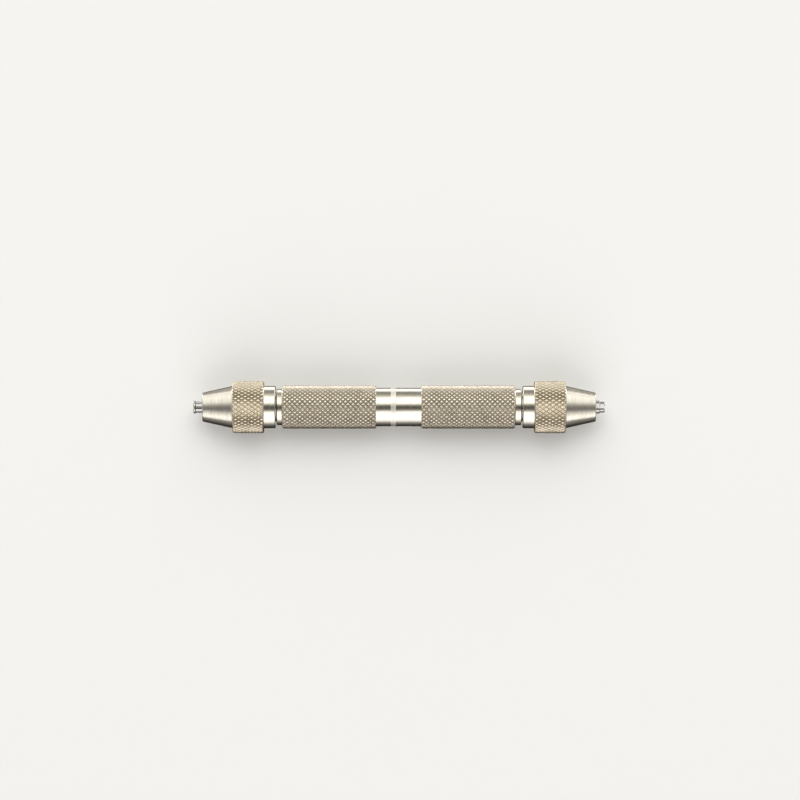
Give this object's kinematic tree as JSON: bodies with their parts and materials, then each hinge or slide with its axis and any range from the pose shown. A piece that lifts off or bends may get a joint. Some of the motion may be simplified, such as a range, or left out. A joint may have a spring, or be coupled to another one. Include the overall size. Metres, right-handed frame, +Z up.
{
  "type": "pin vise drill",
  "caption": "Double-ended hand pin vise with a knurled two-part handle, a tapered chuck nut with knurled collar at each end, and slit reversible collets that grip fine drills.",
  "frame": {"origin": "on the surface the tool lies on, under the middle of its length and width", "axes": "+X along the tool to the right-hand chuck, +Z up, +Y across"},
  "size_m": [0.1, 0.0126, 0.0126],
  "materials": {
    "nickel_plate": "satin nickel plate, turned and knurled",
    "collet_steel": "hardened spring steel, ground"
  },
  "bodies": {
    "handle": {"handle_half_left": "nickel_plate", "handle_half_right": "nickel_plate"},
    "collet_left": {"collet_body_left": "collet_steel"},
    "nut_left": {"chuck_nut_left": "nickel_plate"},
    "front_jaw_left_1": {"front_jaw_left_1": "collet_steel"},
    "front_jaw_left_2": {"front_jaw_left_2": "collet_steel"},
    "front_jaw_left_3": {"front_jaw_left_3": "collet_steel"},
    "front_jaw_left_4": {"front_jaw_left_4": "collet_steel"},
    "rear_jaw_left_1": {"rear_jaw_left_1": "collet_steel"},
    "rear_jaw_left_2": {"rear_jaw_left_2": "collet_steel"},
    "rear_jaw_left_3": {"rear_jaw_left_3": "collet_steel"},
    "rear_jaw_left_4": {"rear_jaw_left_4": "collet_steel"},
    "collet_right": {"collet_body_right": "collet_steel"},
    "nut_right": {"chuck_nut_right": "nickel_plate"},
    "front_jaw_right_1": {"front_jaw_right_1": "collet_steel"},
    "front_jaw_right_2": {"front_jaw_right_2": "collet_steel"},
    "front_jaw_right_3": {"front_jaw_right_3": "collet_steel"},
    "front_jaw_right_4": {"front_jaw_right_4": "collet_steel"},
    "rear_jaw_right_1": {"rear_jaw_right_1": "collet_steel"},
    "rear_jaw_right_2": {"rear_jaw_right_2": "collet_steel"},
    "rear_jaw_right_3": {"rear_jaw_right_3": "collet_steel"},
    "rear_jaw_right_4": {"rear_jaw_right_4": "collet_steel"}
  },
  "joints": [
    {"name": "chuck_left_travel", "type": "slide", "parent": "handle", "child": "collet_left", "axis": [-1, 0, 0], "range_m": [0, 0.006]},
    {"name": "nut_left_turn", "type": "hinge", "parent": "collet_left", "child": "nut_left", "pos_m": [-0.03775, 0, 0.0063], "axis": [-1, 0, 0], "range_deg": [0, 2880]},
    {"name": "front_jaw_left_1_bend", "type": "hinge", "parent": "collet_left", "child": "front_jaw_left_1", "pos_m": [-0.0399, 0.00115, 0.00793], "axis": [0, 0.8192, -0.5736], "range_deg": [0, 1.2]},
    {"name": "front_jaw_left_2_bend", "type": "hinge", "parent": "collet_left", "child": "front_jaw_left_2", "pos_m": [-0.0399, 0.00164, 0.00515], "axis": [0, -0.5736, -0.8192], "range_deg": [0, 1.2]},
    {"name": "front_jaw_left_3_bend", "type": "hinge", "parent": "collet_left", "child": "front_jaw_left_3", "pos_m": [-0.0399, -0.00115, 0.00466], "axis": [0, -0.8192, 0.5736], "range_deg": [0, 1.2]},
    {"name": "front_jaw_left_4_bend", "type": "hinge", "parent": "collet_left", "child": "front_jaw_left_4", "pos_m": [-0.0399, -0.00164, 0.00744], "axis": [0, 0.5736, 0.8192], "range_deg": [0, 1.2]},
    {"name": "rear_jaw_left_1_bend", "type": "hinge", "parent": "collet_left", "child": "rear_jaw_left_1", "pos_m": [-0.0356, -0.00164, 0.00744], "axis": [0, -0.5736, -0.8192], "range_deg": [0, 1.2]},
    {"name": "rear_jaw_left_2_bend", "type": "hinge", "parent": "collet_left", "child": "rear_jaw_left_2", "pos_m": [-0.0356, -0.00115, 0.00466], "axis": [0, 0.8192, -0.5736], "range_deg": [0, 1.2]},
    {"name": "rear_jaw_left_3_bend", "type": "hinge", "parent": "collet_left", "child": "rear_jaw_left_3", "pos_m": [-0.0356, 0.00164, 0.00515], "axis": [0, 0.5736, 0.8192], "range_deg": [0, 1.2]},
    {"name": "rear_jaw_left_4_bend", "type": "hinge", "parent": "collet_left", "child": "rear_jaw_left_4", "pos_m": [-0.0356, 0.00115, 0.00793], "axis": [0, -0.8192, 0.5736], "range_deg": [0, 1.2]},
    {"name": "chuck_right_travel", "type": "slide", "parent": "handle", "child": "collet_right", "axis": [1, 0, 0], "range_m": [0, 0.006]},
    {"name": "nut_right_turn", "type": "hinge", "parent": "collet_right", "child": "nut_right", "pos_m": [0.03775, 0, 0.0063], "axis": [1, 0, 0], "range_deg": [0, 2880]},
    {"name": "front_jaw_right_1_bend", "type": "hinge", "parent": "collet_right", "child": "front_jaw_right_1", "pos_m": [0.0399, 0.00164, 0.00515], "axis": [0, 0.5736, 0.8192], "range_deg": [0, 1.2]},
    {"name": "front_jaw_right_2_bend", "type": "hinge", "parent": "collet_right", "child": "front_jaw_right_2", "pos_m": [0.0399, 0.00115, 0.00793], "axis": [0, -0.8192, 0.5736], "range_deg": [0, 1.2]},
    {"name": "front_jaw_right_3_bend", "type": "hinge", "parent": "collet_right", "child": "front_jaw_right_3", "pos_m": [0.0399, -0.00164, 0.00744], "axis": [0, -0.5736, -0.8192], "range_deg": [0, 1.2]},
    {"name": "front_jaw_right_4_bend", "type": "hinge", "parent": "collet_right", "child": "front_jaw_right_4", "pos_m": [0.0399, -0.00115, 0.00466], "axis": [0, 0.8192, -0.5736], "range_deg": [0, 1.2]},
    {"name": "rear_jaw_right_1_bend", "type": "hinge", "parent": "collet_right", "child": "rear_jaw_right_1", "pos_m": [0.0356, -0.00115, 0.00466], "axis": [0, -0.8192, 0.5736], "range_deg": [0, 1.2]},
    {"name": "rear_jaw_right_2_bend", "type": "hinge", "parent": "collet_right", "child": "rear_jaw_right_2", "pos_m": [0.0356, -0.00164, 0.00744], "axis": [0, 0.5736, 0.8192], "range_deg": [0, 1.2]},
    {"name": "rear_jaw_right_3_bend", "type": "hinge", "parent": "collet_right", "child": "rear_jaw_right_3", "pos_m": [0.0356, 0.00115, 0.00793], "axis": [0, 0.8192, -0.5736], "range_deg": [0, 1.2]},
    {"name": "rear_jaw_right_4_bend", "type": "hinge", "parent": "collet_right", "child": "rear_jaw_right_4", "pos_m": [0.0356, 0.00164, 0.00515], "axis": [0, -0.5736, -0.8192], "range_deg": [0, 1.2]}
  ],
  "couplings": [
    {"joint": "nut_left_turn", "follows": "chuck_left_travel", "rad_per_m": 8377.6},
    {"joint": "front_jaw_left_1_bend", "follows": "chuck_left_travel", "rad_per_m": 3.4907},
    {"joint": "front_jaw_left_2_bend", "follows": "chuck_left_travel", "rad_per_m": 3.4907},
    {"joint": "front_jaw_left_3_bend", "follows": "chuck_left_travel", "rad_per_m": 3.4907},
    {"joint": "front_jaw_left_4_bend", "follows": "chuck_left_travel", "rad_per_m": 3.4907},
    {"joint": "rear_jaw_left_1_bend", "follows": "chuck_left_travel", "rad_per_m": 3.4907},
    {"joint": "rear_jaw_left_2_bend", "follows": "chuck_left_travel", "rad_per_m": 3.4907},
    {"joint": "rear_jaw_left_3_bend", "follows": "chuck_left_travel", "rad_per_m": 3.4907},
    {"joint": "rear_jaw_left_4_bend", "follows": "chuck_left_travel", "rad_per_m": 3.4907},
    {"joint": "nut_right_turn", "follows": "chuck_right_travel", "rad_per_m": 8377.6},
    {"joint": "front_jaw_right_1_bend", "follows": "chuck_right_travel", "rad_per_m": 3.4907},
    {"joint": "front_jaw_right_2_bend", "follows": "chuck_right_travel", "rad_per_m": 3.4907},
    {"joint": "front_jaw_right_3_bend", "follows": "chuck_right_travel", "rad_per_m": 3.4907},
    {"joint": "front_jaw_right_4_bend", "follows": "chuck_right_travel", "rad_per_m": 3.4907},
    {"joint": "rear_jaw_right_1_bend", "follows": "chuck_right_travel", "rad_per_m": 3.4907},
    {"joint": "rear_jaw_right_2_bend", "follows": "chuck_right_travel", "rad_per_m": 3.4907},
    {"joint": "rear_jaw_right_3_bend", "follows": "chuck_right_travel", "rad_per_m": 3.4907},
    {"joint": "rear_jaw_right_4_bend", "follows": "chuck_right_travel", "rad_per_m": 3.4907}
  ]
}
